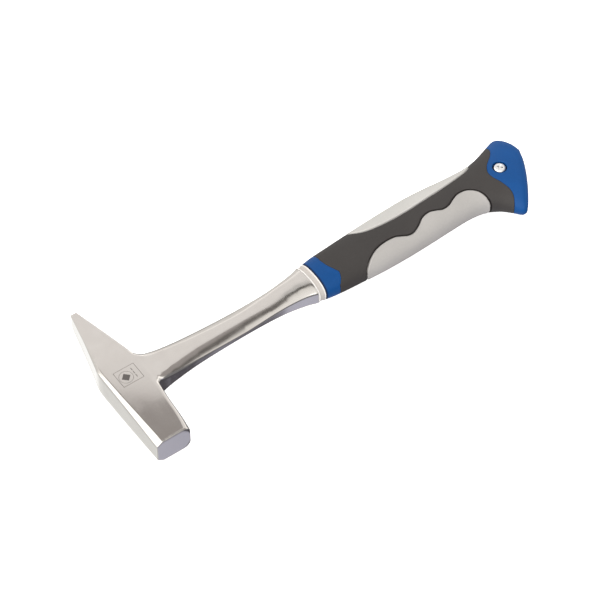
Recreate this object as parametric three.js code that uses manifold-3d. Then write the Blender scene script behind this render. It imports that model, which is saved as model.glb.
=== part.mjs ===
// Rock hammer: a one-piece forged steel head, shank and tang in a bolted, moulded grip.
// Millimetres. +X runs along the handle towards the butt, +Y towards the pick, +Z up out of the cheek
// it lies on. The origin is on the lower cheek's flat, below the crossing of head and handle.
import * as THREE from "three";
import { mergeVertices } from "three/addons/utils/BufferGeometryUtils.js";
import Module from "manifold-3d";

const wasm = await Module();
wasm.setup();

// Driving dimensions
const cheekHalf = 10.8; // half the head's thickness, cheek to mid-plane
const fit = 0.3; // clearance left between neighbouring pieces
const shoulderX = 131.9; // where the shank ends and the tang begins
const collarStart = 132.4;
const collarEnd = 137.4;
const gripStart = 137.8;
const skin = 3.0; // thickness of the soft and coloured mouldings
const screwX = 286.2;
const screwY = 0.3;
const screwHeadR = 4.1;
const screwR = 2.0;
const seatZ = 8.7; // height of the screw's seat above the mid-plane
const tangHalfT = 3.2;
const sleeveWall = 1.2;
const eyeR = 9.6; // round end of the tang

// Head sections, pick side up: y, top flat x, its half-height, cheek's top edge x, cheek half-thickness,
// handle-side x, handle-side bevel
const headSections = [
  [-53.7, -14.9, 6.6, -11.8, 8.8, 7.4, 5.0],
  [-53.2, -15.6, 6.9, -11.9, 9.6, 7.9, 5.2],
  [-52.6, -15.9, 7.1, -12.0, 9.9, 8.1, 5.1],
  [-49.0, -15.9, 7.3, -12.1, 10.1, 8.4, 4.5],
  [-45.0, -15.9, 7.6, -12.3, 10.3, 8.7, 3.7],
  [-38.0, -15.9, 8.1, -12.7, 10.6, 9.0, 3.0],
  [-28.0, -15.9, 8.6, -13.1, 10.8, 9.5, 2.6],
  [-13.0, -15.9, 9.2, -13.7, 10.8, 11.4, 2.6],
  [9.0, -15.9, 9.6, -14.2, 10.8, 11.2, 2.0],
  [14.0, -15.6, 9.6, -13.8, 10.8, 10.0, 1.4],
  [18.0, -14.4, 9.1, -12.8, 10.6, 8.9, 1.0],
  [25.0, -12.6, 8.9, -11.2, 10.1, 7.5, 0.8],
  [38.0, -9.4, 8.8, -9.1, 9.0, 4.9, 0.7],
  [59.0, -4.8, 7.0, -4.7, 7.1, 0.7, 0.6],
  [61.9, -4.1, 6.7, -4.0, 6.8, 0.0, 0.5],
];

// Shank sections: x, half-width on the pick side, on the striking side, side-face half-height, crown height
const shankSections = [
  [3, 18.0, 17.0, 10.2, 10.7],
  [8, 15.4, 16.2, 9.8, 10.7],
  [11.5, 12.7, 14.6, 8.2, 10.5],
  [15, 11.1, 12.7, 6.2, 9.5],
  [22, 10.5, 12.0, 4.35, 7.9],
  [28, 10.1, 11.5, 3.6, 7.1],
  [34, 9.8, 11.0, 3.0, 6.5],
  [42, 9.4, 10.4, 2.6, 6.0],
  [54, 9.1, 9.9, 2.1, 5.5],
  [68, 8.9, 9.6, 1.6, 5.1],
  [82, 8.8, 9.3, 1.5, 5.0],
  [94, 8.7, 9.0, 1.8, 5.2],
  [104, 8.7, 8.9, 2.4, 5.6],
  [112, 9.1, 9.1, 3.1, 6.2],
  [120, 9.8, 9.9, 3.8, 7.2],
  [126, 10.7, 10.9, 4.2, 8.05],
  [131.9, 12.2, 12.6, 4.4, 8.7],
];

// Grip rings from mouth to butt: crown x, y; pick-side edge x, y; striking-side edge x, y; half-thickness,
// and how far the ring bows out towards the butt between its crown and its edges
const gripRings = [
  [137.8, 0, 137.8, 14.2, 137.8, -14.2, 9.2, 0],
  [146, 0, 146, 15.4, 146, -15.1, 9.9, 0],
  [156, 0, 156, 16.1, 156, -15.7, 10.5, 0],
  [167, 0, 167, 17.0, 167, -16.1, 11.0, 0],
  [180, 0, 180, 17.9, 180, -16.7, 11.4, 0],
  [195, 0, 195, 18.9, 195, -16.7, 11.7, 0],
  [210, 0, 210, 19.7, 210, -16.2, 11.9, 0],
  [224, 0, 224, 20.1, 224, -15.4, 11.9, 0],
  [238, 0, 238, 19.5, 238, -14.5, 11.7, 0],
  [250, 0, 250, 18.5, 250, -14.0, 11.5, 0],
  [260, 0, 260, 18.0, 259, -14.5, 11.4, 0],
  [268, 0, 270, 18.0, 265, -16.0, 11.5, 0],
  [276, 0.2, 279, 19.4, 269.5, -18.6, 11.8, 0],
  [284, 0.8, 287, 21.9, 273.5, -21.9, 12.0, 0.1],
  [292, 1.6, 294, 24.5, 277.3, -26.7, 12.0, 0.4],
  [299.4, 2.6, 300.0, 26.3, 280.4, -31.1, 11.8, 1.0],
  [304.6, 4.2, 302.9, 24.9, 282.4, -32.3, 11.2, 1.4],
  [307.8, 5.8, 304.8, 22.1, 285.3, -31.7, 10.0, 1.6],
  [309.3, 6.5, 305.7, 19.2, 287.4, -29.6, 8.0, 1.7],
];
const gripRoundness = 2.35;
const ringStep = 0.6; // spacing of the lofted sections, in rings

// Seams of the grip seen from above, as x, y
const chevronSeam = [[146.9, 30], [146.9, 9.5], [151.3, -8.4], [147.7, -14.6], [147.7, -30]];
const buttSeam = [
  [294, 34], [291.6, 18.5], [287.4, 12.1], [282.2, 8], [278.9, 4.6], [277, 0.6], [277.4, -4.4],
  [279.8, -10.8], [281.2, -17.2], [280.4, -22.2], [277.6, -27], [273, -34],
];
const fingerSeam = [
  [168.3, -30], [168.2, -15.4], [170.1, -14.1], [174.5, -10.9], [181, -8], [188.3, -6.8], [195.4, -7.1],
  [200, -8.8], [204.4, -10.5], [209.2, -10.5], [214.9, -7.9], [219.6, -4.8], [225.5, -3.6], [230.4, -4.9],
  [235, -6.5], [240.2, -6], [244.9, -3.8], [250, -2], [256.1, -2.4], [261.2, -5.5], [264.3, -9.6],
  [266, -14.4], [266.6, -18], [266.6, -30],
];
const palmSeam = [
  [174, 30], [175.6, 13.6], [178.6, 10.8], [184, 8.1], [192.4, 6.4], [203, 5.6], [216.5, 5.8], [232, 7.2],
  [246, 8.6], [260.6, 10.8], [271.5, 14.2], [276, 30],
];

/** Smooth value of a table column at row position t (Catmull-Rom through the rows). */
function smoothColumn(rows, column, t) {
  const last = rows.length - 1;
  const i = Math.min(Math.floor(t), last - 1);
  const f = t - i;
  const p0 = rows[Math.max(i - 1, 0)][column];
  const p1 = rows[i][column];
  const p2 = rows[i + 1][column];
  const p3 = rows[Math.min(i + 2, last)][column];
  const pull = (p2 - p0) * 0.5;
  const push = (p3 - p1) * 0.5;
  const f2 = f * f;
  const f3 = f2 * f;
  return (2 * f3 - 3 * f2 + 1) * p1 + (f3 - 2 * f2 + f) * pull + (3 * f2 - 2 * f3) * p2 + (f3 - f2) * push;
}

function smoothRow(rows, t) {
  return rows[0].map((unused, column) => smoothColumn(rows, column, t));
}

/** Value of one column against x, by straight lines between the rows. */
function valueAt(rows, x, column) {
  let i = 0;
  while (i < rows.length - 2 && rows[i + 1][0] < x) i += 1;
  const f = THREE.MathUtils.clamp((x - rows[i][0]) / (rows[i + 1][0] - rows[i][0]), 0, 1);
  return rows[i][column] * (1 - f) + rows[i + 1][column] * f;
}

/** Closed skin over a run of equal-length loops of [x, y, z] points, with a fan across each end.
 * A fan spreads from the loop's middle, or from the point given for that end. */
function loft(loops, endCentres = []) {
  const n = loops[0].length;
  const positions = [];
  const index = [];
  for (const loop of loops) {
    for (const point of loop) positions.push(...point);
  }
  for (let j = 0; j < loops.length - 1; j += 1) {
    for (let i = 0; i < n; i += 1) {
      const a = j * n + i;
      const b = j * n + ((i + 1) % n);
      index.push(a, b, b + n, a, b + n, a + n);
    }
  }
  for (const j of [0, loops.length - 1]) {
    const loop = loops[j];
    const centre = positions.length / 3;
    const middle = [0, 1, 2].map((axis) => loop.reduce((sum, point) => sum + point[axis], 0) / n);
    positions.push(...(endCentres[j === 0 ? 0 : 1] ?? middle));
    for (let i = 0; i < n; i += 1) {
      const a = j * n + i;
      const b = j * n + ((i + 1) % n);
      if (j === 0) index.push(centre, b, a);
      else index.push(centre, a, b);
    }
  }
  const geometry = new THREE.BufferGeometry();
  geometry.setAttribute("position", new THREE.Float32BufferAttribute(positions, 3));
  geometry.setIndex(index);
  return geometry;
}

/** A manifold solid from any closed three.js geometry, turned outward-facing. */
function solid(geometry) {
  const bare = new THREE.BufferGeometry();
  bare.setAttribute("position", geometry.getAttribute("position").clone());
  if (geometry.index) bare.setIndex(geometry.index.clone());
  const merged = mergeVertices(bare, 1e-4);
  const vertProperties = new Float32Array(merged.getAttribute("position").array);
  const triVerts = new Uint32Array(merged.index.array);
  let volume = 0;
  const corner = (k) => new THREE.Vector3().fromArray(vertProperties, triVerts[k] * 3);
  for (let k = 0; k < triVerts.length; k += 3) {
    volume += corner(k).dot(corner(k + 1).cross(corner(k + 2)));
  }
  if (volume < 0) {
    for (let k = 0; k < triVerts.length; k += 3) {
      [triVerts[k + 1], triVerts[k + 2]] = [triVerts[k + 2], triVerts[k + 1]];
    }
  }
  return new wasm.Manifold(new wasm.Mesh({ numProp: 3, vertProperties, triVerts }));
}

/** Upright cylinder about the screw axis between two heights. */
function screwCylinder(radius, low, high, segments = 32) {
  const geometry = new THREE.CylinderGeometry(radius, radius, high - low, segments);
  geometry.rotateX(Math.PI / 2);
  geometry.translate(screwX, screwY, (low + high) / 2);
  return solid(geometry);
}

/** Upright prism over a closed outline of [x, y] corners, tall enough to cut the whole grip. */
function prism(outline) {
  const shape = new THREE.Shape(outline.map(([x, y]) => new THREE.Vector2(x, y)));
  const geometry = new THREE.ExtrudeGeometry(shape, { depth: 60, bevelEnabled: false });
  geometry.translate(0, 0, -30);
  return solid(geometry);
}

/** Seam line moved sideways by a distance, to its left when the distance is positive. */
function shifted(seam, distance) {
  return seam.map(([x, y], i) => {
    const before = seam[Math.max(i - 1, 0)];
    const after = seam[Math.min(i + 1, seam.length - 1)];
    const run = Math.hypot(after[0] - before[0], after[1] - before[1]);
    return [x - ((after[1] - before[1]) / run) * distance, y + ((after[0] - before[0]) / run) * distance];
  });
}

/** One section of the grip, drawn in by a depth below its outer skin. */
function gripLoop(t, depth, segments) {
  const [cx, cy, px, py, sx, sy, half, bow] = smoothRow(gripRings, t);
  const loop = [];
  for (let i = 0; i < segments; i += 1) {
    const angle = (i / segments) * Math.PI * 2;
    const [ex, ey] = Math.cos(angle) >= 0 ? [px, py] : [sx, sy];
    const reach = Math.hypot(ex - cx, ey - cy);
    const across = Math.abs(Math.cos(angle)) ** (2 / gripRoundness) * ((reach - depth) / reach);
    const height = Math.sign(Math.sin(angle)) * Math.abs(Math.sin(angle)) ** (2 / gripRoundness);
    const bulge = 4 * bow * across * (1 - across) * (Math.cos(angle) >= 0 ? 0.15 : 1);
    loop.push([cx + (ex - cx) * across + bulge, cy + (ey - cy) * across, height * (half - depth)]);
  }
  return loop;
}

/** The whole grip body between two ring positions, drawn in by a depth. */
function gripBody(depth, lastRing, segments = 32) {
  const loops = [];
  const stations = Math.round(lastRing / ringStep);
  for (let j = 0; j <= stations; j += 1) loops.push(gripLoop(j * ringStep, depth, segments));
  const centres = [0, stations * ringStep].map((t) => {
    const [cx, cy] = smoothRow(gripRings, t);
    return [cx, cy, 0];
  });
  return solid(loft(loops, centres));
}

/** Rounded flat bar along X from rows of x, half-width, half-thickness. */
function bar(rows, segments = 20, roundness = 4) {
  return solid(loft(rows.map(([x, halfW, halfT]) => {
    const loop = [];
    for (let i = 0; i < segments; i += 1) {
      const angle = ((i + 0.5) / segments) * Math.PI * 2;
      const c = Math.cos(angle);
      const s = Math.sin(angle);
      loop.push([
        x,
        Math.sign(c) * Math.abs(c) ** (2 / roundness) * halfW,
        Math.sign(s) * Math.abs(s) ** (2 / roundness) * halfT,
      ]);
    }
    return loop;
  })));
}

/** Half-width of the tang along its length. */
const tangRows = [[120, 8.6], [150, 8.2], [262, 7.0], [276, 7.6]];

function tangBar(extra, start, end) {
  const rows = [];
  for (const x of [start, 150, 200, 262, end]) {
    if (x >= start && x <= end) rows.push([x, valueAt(tangRows, x, 1) + extra, tangHalfT + extra]);
  }
  return bar(rows.filter((row, i) => i === 0 || row[0] > rows[i - 1][0]));
}

function headSolid() {
  const loops = headSections.map(([y, topX, topHalf, edgeX, half, backX, bevel]) => {
    const upper = [
      [topX, topHalf], [edgeX, half], [backX - bevel, half],
      [backX - 0.3 * bevel, half - 0.3 * bevel], [backX, half - bevel],
    ];
    const lower = upper.map(([x, z]) => [x, -z]).reverse();
    return [...upper, ...lower].map(([x, z]) => [x, y, z]);
  });
  return solid(loft(loops));
}

function shankLoop([x, pickHalf, strikeHalf, sideHalf, crown]) {
  const arcSteps = 10;
  const upper = [];
  for (let i = 0; i <= arcSteps; i += 1) {
    const across = 1 - (2 * i) / arcSteps;
    const y = across >= 0 ? across * pickHalf : across * strikeHalf;
    upper.push([x, y, sideHalf + (crown - sideHalf) * (1 - across ** 2)]);
  }
  const lower = upper.map(([px, y, z]) => [px, y, -z]).reverse();
  return [...upper, ...lower];
}

function shankSolid() {
  const loops = [];
  const steps = (shankSections.length - 1) * 2;
  for (let j = 0; j <= steps; j += 1) loops.push(shankLoop(smoothRow(shankSections, j / 2)));
  return solid(loft(loops));
}

function hammerForging() {
  const tang = tangBar(0, shoulderX - 4, 284).add(screwCylinder(eyeR, -tangHalfT, tangHalfT, 40));
  return headSolid().add(shankSolid()).add(tang).subtract(screwCylinder(5.1, -20, 20));
}

function frontCollar() {
  const rows = [
    [collarStart, 13.2, 8.5], [collarStart + 0.4, 13.8, 9.0], [collarStart + 1.0, 13.8, 9.0],
    [collarStart + 1.4, 13.4, 8.6], [collarEnd - 1.4, 13.6, 8.7], [collarEnd - 1.0, 14.1, 9.2],
    [collarEnd - 0.4, 14.1, 9.2], [collarEnd, 13.6, 8.8],
  ];
  return bar(rows, 40, gripRoundness).subtract(tangBar(sleeveWall + 2 * fit, collarStart - 1, collarEnd + 1));
}

function frontDampingRing() {
  const outer = tangBar(sleeveWall + fit, collarStart, 149.4);
  return outer.subtract(tangBar(fit, collarStart - 1, 151));
}

function tangDampingSleeve() {
  const outer = tangBar(sleeveWall + fit, 149.8, 262);
  return outer.subtract(tangBar(fit, 149, 263));
}

function gripCore(side) {
  const cavity = tangBar(sleeveWall + 2 * fit, gripStart - 2, 284)
    .add(screwCylinder(eyeR + fit, -tangHalfT - fit, tangHalfT + fit, 40));
  const half = new THREE.BoxGeometry(400, 100, 40);
  half.translate(200, 0, side * (20 + fit / 2));
  const seatDepth = screwCylinder(screwHeadR + 0.8, seatZ, 20);
  const lowerSeat = screwCylinder(screwHeadR + 0.8, -20, -seatZ);
  return gripBody(skin, 15.6).intersect(solid(half)).subtract(cavity)
    .subtract(screwCylinder(3.9 + fit, -20, 20)).subtract(side > 0 ? seatDepth : lowerSeat);
}

/** Moulded layer over the core. */
function gripSkin() {
  return gripBody(0, gripRings.length - 1).subtract(gripBody(skin - fit, 16.2));
}

function fingerPlan(grow) {
  return prism(shifted(fingerSeam, grow));
}

function palmPlan(grow) {
  return prism(shifted(palmSeam, -grow));
}

function buttPlan(grow) {
  return prism([...shifted(buttSeam, -grow), [340, -34], [340, 34]]);
}

function bandPlan(grow) {
  return prism([...shifted(chevronSeam, grow), [120, -30], [120, 30]]);
}

function softGripBody(skinSolid) {
  return skinSolid.subtract(bandPlan(fit / 2)).subtract(buttPlan(fit / 2))
    .subtract(fingerPlan(fit / 2)).subtract(palmPlan(fit / 2));
}

function buttCap(skinSolid) {
  return skinSolid.intersect(buttPlan(-fit / 2)).subtract(screwCylinder(screwHeadR + 0.8, -30, 30));
}

function buttScrew() {
  const dome = [
    [0, 0], [screwHeadR, 0], [screwHeadR, 1.7], [screwHeadR - 0.5, 2.35], [screwHeadR - 1.6, 2.8], [0, 2.9],
  ];
  const head = new THREE.LatheGeometry(dome.map(([r, z]) => new THREE.Vector2(r, z)), 32);
  head.rotateX(Math.PI / 2);
  head.translate(screwX, screwY, seatZ + fit);
  const bladeA = new THREE.BoxGeometry(4.2, 1.0, 4);
  const bladeB = new THREE.BoxGeometry(1.0, 4.2, 4);
  let body = solid(head).add(screwCylinder(screwR, -3, seatZ + fit + 0.5, 24));
  for (const blade of [bladeA, bladeB]) {
    blade.rotateZ(Math.PI / 5);
    blade.translate(screwX, screwY, seatZ + fit + 3.4);
    body = body.subtract(solid(blade));
  }
  return body;
}

function barrelNut() {
  const head = screwCylinder(screwHeadR, -seatZ - fit - 2.2, -seatZ - fit);
  return head.add(screwCylinder(2.9, -seatZ - 1, 0.5)).subtract(screwCylinder(screwR + fit, -seatZ + 1.5, 5, 24));
}

function screwBushing() {
  return screwCylinder(3.9, -seatZ + 0.2, seatZ - 0.2).subtract(screwCylinder(3.2, -20, 20));
}

function rearDampingBush() {
  return screwCylinder(4.9, -tangHalfT, tangHalfT).subtract(screwCylinder(3.9 + fit * 0.5, -20, 20));
}

/** A manifold's triangles as a flat-shaded three.js geometry, lifted so the lower cheek is at z = 0. */
function meshOf(name, body, material) {
  const mesh = body.getMesh();
  const geometry = new THREE.BufferGeometry();
  geometry.setAttribute("position", new THREE.Float32BufferAttribute(mesh.vertProperties, 3));
  geometry.setIndex(new THREE.Uint32BufferAttribute(mesh.triVerts, 1));
  geometry.translate(0, 0, cheekHalf);
  geometry.computeVertexNormals();
  const part = new THREE.Mesh(geometry, material);
  part.name = name;
  return part;
}

const steel = new THREE.MeshStandardMaterial({ color: 0xc9c4be, roughness: 0.32, metalness: 1 });
const zinc = new THREE.MeshStandardMaterial({ color: 0xe2e4e6, roughness: 0.25, metalness: 1 });
const lightGrey = new THREE.MeshStandardMaterial({ color: 0xc4beb8, roughness: 0.6, metalness: 0 });
const darkGrey = new THREE.MeshStandardMaterial({ color: 0x4b4745, roughness: 0.75, metalness: 0 });
const blue = new THREE.MeshStandardMaterial({ color: 0x1f58a5, roughness: 0.5, metalness: 0 });
const coreBlack = new THREE.MeshStandardMaterial({ color: 0x262626, roughness: 0.6, metalness: 0 });
const rubber = new THREE.MeshStandardMaterial({ color: 0x1c1c1c, roughness: 0.9, metalness: 0 });

const skinSolid = gripSkin();
const group = new THREE.Group();
group.add(
  meshOf("hammer_forging", hammerForging(), steel),
  meshOf("front_collar", frontCollar(), lightGrey),
  meshOf("front_damping_ring", frontDampingRing(), rubber),
  meshOf("tang_damping_sleeve", tangDampingSleeve(), rubber),
  meshOf("grip_core_upper", gripCore(1), coreBlack),
  meshOf("grip_core_lower", gripCore(-1), coreBlack),
  meshOf("blue_front_band", skinSolid.intersect(bandPlan(-fit / 2)), blue),
  meshOf("soft_grip_body", softGripBody(skinSolid), darkGrey),
  meshOf("finger_panel", skinSolid.intersect(fingerPlan(-fit / 2)), lightGrey),
  meshOf("palm_panel", skinSolid.intersect(palmPlan(-fit / 2)), lightGrey),
  meshOf("butt_cap", buttCap(skinSolid), blue),
  meshOf("butt_screw", buttScrew(), zinc),
  meshOf("barrel_nut", barrelNut(), zinc),
  meshOf("screw_bushing", screwBushing(), zinc),
  meshOf("rear_damping_bush", rearDampingBush(), rubber),
);

export default group;
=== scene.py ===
"""Rock hammer: one-piece forged steel hammer with a moulded, bolted grip.

The lengths in the tables are millimetres in the part's frame, with heights measured from the
hammer's mid-plane: +X from the head to the butt, +Y towards the pick, +Z out of the upper cheek.
"""
import math

import bmesh
import bpy
import numpy as np
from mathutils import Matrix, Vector, kdtree


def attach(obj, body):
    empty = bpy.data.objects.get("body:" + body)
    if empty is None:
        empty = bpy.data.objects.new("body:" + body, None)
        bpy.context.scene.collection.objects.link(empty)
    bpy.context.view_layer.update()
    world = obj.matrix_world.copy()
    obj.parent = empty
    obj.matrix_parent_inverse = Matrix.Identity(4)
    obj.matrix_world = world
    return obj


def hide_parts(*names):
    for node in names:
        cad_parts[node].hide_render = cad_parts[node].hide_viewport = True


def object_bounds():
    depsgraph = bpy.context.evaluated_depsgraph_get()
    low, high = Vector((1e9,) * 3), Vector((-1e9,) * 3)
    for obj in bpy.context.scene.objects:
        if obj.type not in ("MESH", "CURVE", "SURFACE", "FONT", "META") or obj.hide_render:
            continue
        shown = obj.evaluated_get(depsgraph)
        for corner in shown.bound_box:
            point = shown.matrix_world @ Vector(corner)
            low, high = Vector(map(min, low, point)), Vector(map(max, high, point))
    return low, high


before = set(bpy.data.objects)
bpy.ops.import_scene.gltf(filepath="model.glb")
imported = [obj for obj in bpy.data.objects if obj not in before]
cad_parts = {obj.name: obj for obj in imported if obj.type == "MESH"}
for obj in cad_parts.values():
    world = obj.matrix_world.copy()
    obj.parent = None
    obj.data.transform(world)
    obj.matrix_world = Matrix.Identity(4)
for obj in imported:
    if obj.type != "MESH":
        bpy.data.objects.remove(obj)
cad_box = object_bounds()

MM = 0.001
CHEEK_HALF = 10.8
FACE_Y = -53.7
TIP_Y = 61.9
ROUNDNESS = 2.35

# y, top flat x, its half-height, cheek's top edge x, cheek half-thickness, handle-side x, bevel
HEAD = np.array([
    [-53.7, -14.9, 6.6, -11.8, 8.8, 7.4, 5.0],
    [-53.2, -15.6, 6.9, -11.9, 9.6, 7.9, 5.2],
    [-52.6, -15.9, 7.1, -12.0, 9.9, 8.1, 5.1],
    [-49.0, -15.9, 7.3, -12.1, 10.1, 8.4, 4.5],
    [-45.0, -15.9, 7.6, -12.3, 10.3, 8.7, 3.7],
    [-38.0, -15.9, 8.1, -12.7, 10.6, 9.0, 3.0],
    [-28.0, -15.9, 8.6, -13.1, 10.8, 9.5, 2.6],
    [-13.0, -15.9, 9.2, -13.7, 10.8, 11.4, 2.6],
    [9.0, -15.9, 9.6, -14.2, 10.8, 11.2, 2.0],
    [14.0, -15.6, 9.6, -13.8, 10.8, 10.0, 1.4],
    [18.0, -14.4, 9.1, -12.8, 10.6, 8.9, 1.0],
    [25.0, -12.6, 8.9, -11.2, 10.1, 7.5, 0.8],
    [38.0, -9.4, 8.8, -9.1, 9.0, 4.9, 0.7],
    [59.0, -4.8, 7.0, -4.7, 7.1, 0.7, 0.6],
    [61.9, -4.1, 6.7, -4.0, 6.8, 0.0, 0.5],
])

# x, half-width on the pick side, on the striking side, side-face half-height, crown height
SHANK = np.array([
    [3, 18.0, 17.0, 10.2, 10.9],
    [8, 15.4, 16.2, 9.8, 10.9],
    [11.5, 12.7, 14.6, 8.2, 10.6],
    [15, 11.1, 12.7, 6.2, 9.5],
    [22, 10.5, 12.0, 4.35, 7.9],
    [28, 10.1, 11.5, 3.6, 7.1],
    [34, 9.8, 11.0, 3.0, 6.5],
    [42, 9.4, 10.4, 2.6, 6.0],
    [54, 9.1, 9.9, 2.1, 5.5],
    [68, 8.9, 9.6, 1.6, 5.1],
    [82, 8.8, 9.3, 1.5, 5.0],
    [94, 8.7, 9.0, 1.8, 5.2],
    [104, 8.7, 8.9, 2.4, 5.6],
    [112, 9.1, 9.1, 3.1, 6.2],
    [120, 9.8, 9.9, 3.8, 7.2],
    [126, 10.7, 10.9, 4.2, 8.05],
    [131.9, 12.2, 12.6, 4.4, 8.7],
])

# crown x, y; pick-side edge x, y; striking-side edge x, y; half-thickness; bow towards the butt
RINGS = np.array([
    [137.8, 0, 137.8, 14.2, 137.8, -14.2, 9.2, 0],
    [146, 0, 146, 15.4, 146, -15.1, 9.9, 0],
    [156, 0, 156, 16.1, 156, -15.7, 10.5, 0],
    [167, 0, 167, 17.0, 167, -16.1, 11.0, 0],
    [180, 0, 180, 17.9, 180, -16.7, 11.4, 0],
    [195, 0, 195, 18.9, 195, -16.7, 11.7, 0],
    [210, 0, 210, 19.7, 210, -16.2, 11.9, 0],
    [224, 0, 224, 20.1, 224, -15.4, 11.9, 0],
    [238, 0, 238, 19.5, 238, -14.5, 11.7, 0],
    [250, 0, 250, 18.5, 250, -14.0, 11.5, 0],
    [260, 0, 260, 18.0, 259, -14.5, 11.4, 0],
    [268, 0, 270, 18.0, 265, -16.0, 11.5, 0],
    [276, 0.2, 279, 19.4, 269.5, -18.6, 11.8, 0],
    [284, 0.8, 287, 21.9, 273.5, -21.9, 12.0, 0.1],
    [292, 1.6, 294, 24.5, 277.3, -26.7, 12.0, 0.4],
    [299.4, 2.6, 300.0, 26.3, 280.4, -31.1, 11.8, 1.0],
    [304.6, 4.2, 302.9, 24.9, 282.4, -32.3, 11.2, 1.4],
    [307.8, 5.8, 304.8, 22.1, 285.3, -31.7, 10.0, 1.6],
    [309.3, 6.5, 305.7, 19.2, 287.4, -29.6, 8.0, 1.7],
])
LAST_RING = len(RINGS) - 1

CHEVRON = [(146.9, 30), (146.9, 9.5), (146.6, 6), (147.6, 0), (149.9, -5.4), (151.3, -8.4),
           (150.2, -11.8), (148.6, -13.9), (147.6, -16), (147.4, -30)]
BUTT_SEAM = [(294, 34), (291.6, 18.5), (287.4, 12.1), (282.2, 8), (278.9, 4.6), (277, 0.6),
             (277.4, -4.4), (279.8, -10.8), (281.2, -17.2), (280.4, -22.2), (277.6, -27), (273, -34)]
FINGER_SEAM = [
    (167.9, -18), (168.0, -16.3), (168.5, -15.3), (170.1, -14.0), (174.5, -10.9), (181, -8),
    (188.3, -6.8), (195.4, -7.1), (200, -8.8), (204.4, -10.5), (209.2, -10.5), (214.9, -7.9),
    (219.6, -4.8), (225.5, -3.6), (230.4, -4.9), (235, -6.5), (240.2, -6), (244.9, -3.8),
    (250, -2), (256.1, -2.4), (261.2, -5.5), (264.3, -9.6), (266, -14.4), (266.6, -18),
]
PALM_SEAM = [
    (174.2, 20), (174.6, 16.4), (176, 13.4), (179, 10.6), (184, 8.1), (192.4, 6.4), (203, 5.6),
    (216.5, 5.8), (232, 7.2), (246, 8.6), (260.6, 10.8), (268, 12.6), (272.4, 15.4), (274, 20),
]

# how steeply the shank's crown falls to its sides, and how much of the fall is gradual, along x
CROWN_POWER = ([11, 15, 20, 30, 45, 60, 80, 100, 113, 120],
               [8, 6.4, 5.8, 4.4, 3, 2.5, 2.2, 1.8, 1.7, 2])
CROWN_SHARE = ([80, 100, 112, 122], [1, 0.64, 0.63, 0.72])
SHANK_START = 3
SHANK_END = 131.9
SHANK_TIP = 132.2
ROOT_LOW = -15.3
ROOT_HIGH = 14.5
ROOT_COLS = 70

# x and half-width of the tang, which ends in a round eye
TANG = [(131.0, 8.5), (150, 8.2), (262, 7.0), (276, 7.6), (281, 8.9), (286, 9.5), (291, 7.6),
        (294, 3.6), (294.7, 0.6)]
TANG_HALF = 3.2
TANG_POINTS = 24

SKIN = 2.7
SEAM_GAP = 0.04
PANEL_GAP = 0.2
PANEL_BACK = 1.9
GROOVE_DEPTH = 1.7
POCKET_DEPTH = 1.3
CAP_RING = 16.2
# x where the painted shade along the blue band's front edge, next to the collar, has faded out
BAND_SHADE_X = 138.7

# distance along the grip and depth below its surface, over a rolled edge
ROLL = [(0.0, 0.45), (0.05, 0.26), (0.14, 0.12), (0.28, 0.03), (0.45, 0.0)]
ROLL_END = 0.6

# x and height over the collar's outer surface
COLLAR = [
    (132.45, -0.62), (132.5, -0.3), (132.6, -0.12), (132.75, 0.0), (133.0, 0.0), (133.15, -0.08),
    (133.26, -0.24), (133.35, -0.5), (133.8, -0.55), (135.8, -0.55), (136.3, -0.5), (136.4, -0.26),
    (136.5, -0.09), (136.65, 0.0), (136.95, 0.0), (137.12, -0.08), (137.28, -0.28), (137.36, -0.75),
]
COLLAR_START = 132.4
COLLAR_MIDDLE = 134.85
COLLAR_POINTS = 96

SCREW = (286.2, 0.3)
SCREW_HEAD_R = 4.1
SCREW_POINTS = 72
WELL_R = 4.9
SEAT_Z = 8.7
RECESS_TURN = 38
LONG_BLADE = (2.3, 0.5, 1.3)
SHORT_BLADE = (1.5, 0.2, 2.2)

WELD = 2e-6
SHARP_EDGE = 38
SCREW_SHARP_EDGE = 30
HALVINGS = 40


# -------- numbers

def smooth_rows(table, t):
    """Catmull-Rom value of every column of a table at row positions t."""
    t = np.asarray(t, float)
    last = len(table) - 1
    i = np.clip(np.floor(t).astype(int), 0, last - 1)
    f = (t - i)[..., None]
    p0 = table[np.maximum(i - 1, 0)]
    p1 = table[i]
    p2 = table[i + 1]
    p3 = table[np.minimum(i + 2, last)]
    m1 = (p2 - p0) * 0.5
    m2 = (p3 - p1) * 0.5
    return ((2 * f**3 - 3 * f**2 + 1) * p1 + (f**3 - 2 * f**2 + f) * m1
            + (3 * f**2 - 2 * f**3) * p2 + (f**3 - f**2) * m2)


def smooth_line(points, per_span=24):
    """A dense smooth line through the given points."""
    table = np.array(points, float)
    return smooth_rows(table, np.linspace(0, len(table) - 1, (len(table) - 1) * per_span + 1))


def smooth_min(a, b, k):
    """The smaller of two values, blended over a width k."""
    h = np.clip(0.5 + 0.5 * (b - a) / k, 0, 1)
    return b * (1 - h) + a * h - k * h * (1 - h)


def smooth_max(a, b, k):
    """The larger of two values, blended over a width k."""
    return -smooth_min(-a, -b, k)


def smooth_step(x):
    """Eases from zero to one as x goes from zero to one."""
    x = np.clip(x, 0, 1)
    return x * x * (3 - 2 * x)


# -------- meshes

def grid_faces(rows, cols, close_rows=False, close_cols=False, start=0):
    """Quads over a grid of points, which can close on itself in either direction."""
    faces = []
    for r in range(rows if close_rows else rows - 1):
        for c in range(cols if close_cols else cols - 1):
            a = r * cols + c
            b = r * cols + (c + 1) % cols
            d = ((r + 1) % rows) * cols + c
            e = ((r + 1) % rows) * cols + (c + 1) % cols
            faces.append((start + a, start + b, start + e, start + d))
    return faces


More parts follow.
